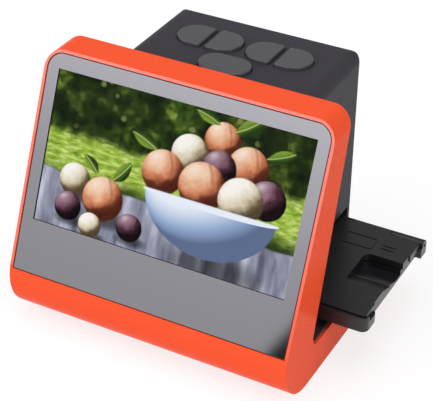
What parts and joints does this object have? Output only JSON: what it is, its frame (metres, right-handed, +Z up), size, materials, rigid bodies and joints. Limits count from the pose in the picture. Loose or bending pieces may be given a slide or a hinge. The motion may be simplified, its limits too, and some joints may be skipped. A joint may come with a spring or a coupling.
{
  "type": "film negative scanner",
  "caption": "Desktop film negative scanner: V-shaped stand with a tilted screen, upright optics housing with top buttons, and a sliding film tray.",
  "frame": {"origin": "bottom centre of the whole part: on the table, midway between the tray ends and between nose and rear", "axes": "+X to the right as the user faces the screen, +Y to the rear, +Z up"},
  "size_m": [0.158, 0.1045, 0.1096],
  "materials": {
    "stand_orange": "smooth satin gloss",
    "base_black": "fine texture",
    "foot_rubber": "matt",
    "screw_steel": "plated",
    "front_glass": "polished, tinted border",
    "tape": "foam",
    "display": "metal framed",
    "bracket_steel": "pressed sheet",
    "cable_film": "film",
    "housing_black": "fine spark texture",
    "reflector_white": "matt white",
    "diffuser_opal": "opal",
    "board_green": "solder mask",
    "led_yellow": "phosphor",
    "lens_glass": "coated",
    "chip_black": "moulded",
    "socket_steel": "plated",
    "mat_silicone": "matt",
    "button_grey": "satin",
    "tray_black": "satin"
  },
  "bodies": {
    "scanner": {"frame_shell": "stand_orange", "base_cover": "base_black", "rubber_feet": "foot_rubber", "base_screws": "screw_steel", "front_glass": "front_glass", "glass_tape": "tape", "lcd_module": "display", "lcd_bracket": "bracket_steel", "lcd_screws": "screw_steel", "display_cable": "cable_film", "body_shell": "housing_black", "body_screws": "screw_steel", "tray_channel": "base_black", "channel_cover": "base_black", "channel_screws": "screw_steel", "light_box": "reflector_white", "diffuser": "diffuser_opal", "led_board": "board_green", "leds": "led_yellow", "optics_tower": "base_black", "lens_barrel": "base_black", "lens": "lens_glass", "sensor_board": "board_green", "image_sensor": "chip_black", "tower_screws": "screw_steel", "sensor_screws": "screw_steel", "main_board": "board_green", "board_chips": "chip_black", "board_screws": "screw_steel", "usb_port": "socket_steel", "video_port": "socket_steel", "card_slot": "socket_steel", "key_board": "board_green", "key_switches": "socket_steel", "key_mat": "mat_silicone", "key_screws": "screw_steel"},
    "film_tray": {"tray_frame": "tray_black", "tray_cover": "tray_black", "tray_hinge_pin": "screw_steel"},
    "far_left_key": {"button_far_left": "button_grey"},
    "mid_left_key": {"button_mid_left": "button_grey"},
    "mid_right_key": {"button_mid_right": "button_grey"},
    "far_right_key": {"button_far_right": "button_grey"},
    "capture_key": {"button_capture": "button_grey"}
  },
  "joints": [
    {"name": "tray_slide", "type": "slide", "parent": "scanner", "child": "film_tray", "axis": [1, 0, 0], "range_m": [-0.105, 0.105]},
    {"name": "far_left_key_press", "type": "slide", "parent": "scanner", "child": "far_left_key", "axis": [0, 0, 1], "range_m": [-0.001, 0], "stiffness_N_per_m": 400, "springref_m": 0.001},
    {"name": "mid_left_key_press", "type": "slide", "parent": "scanner", "child": "mid_left_key", "axis": [0, 0, 1], "range_m": [-0.001, 0], "stiffness_N_per_m": 400, "springref_m": 0.001},
    {"name": "mid_right_key_press", "type": "slide", "parent": "scanner", "child": "mid_right_key", "axis": [0, 0, 1], "range_m": [-0.001, 0], "stiffness_N_per_m": 400, "springref_m": 0.001},
    {"name": "far_right_key_press", "type": "slide", "parent": "scanner", "child": "far_right_key", "axis": [0, 0, 1], "range_m": [-0.001, 0], "stiffness_N_per_m": 400, "springref_m": 0.001},
    {"name": "capture_key_press", "type": "slide", "parent": "scanner", "child": "capture_key", "axis": [0, 0, 1], "range_m": [-0.001, 0], "stiffness_N_per_m": 400, "springref_m": 0.001}
  ]
}
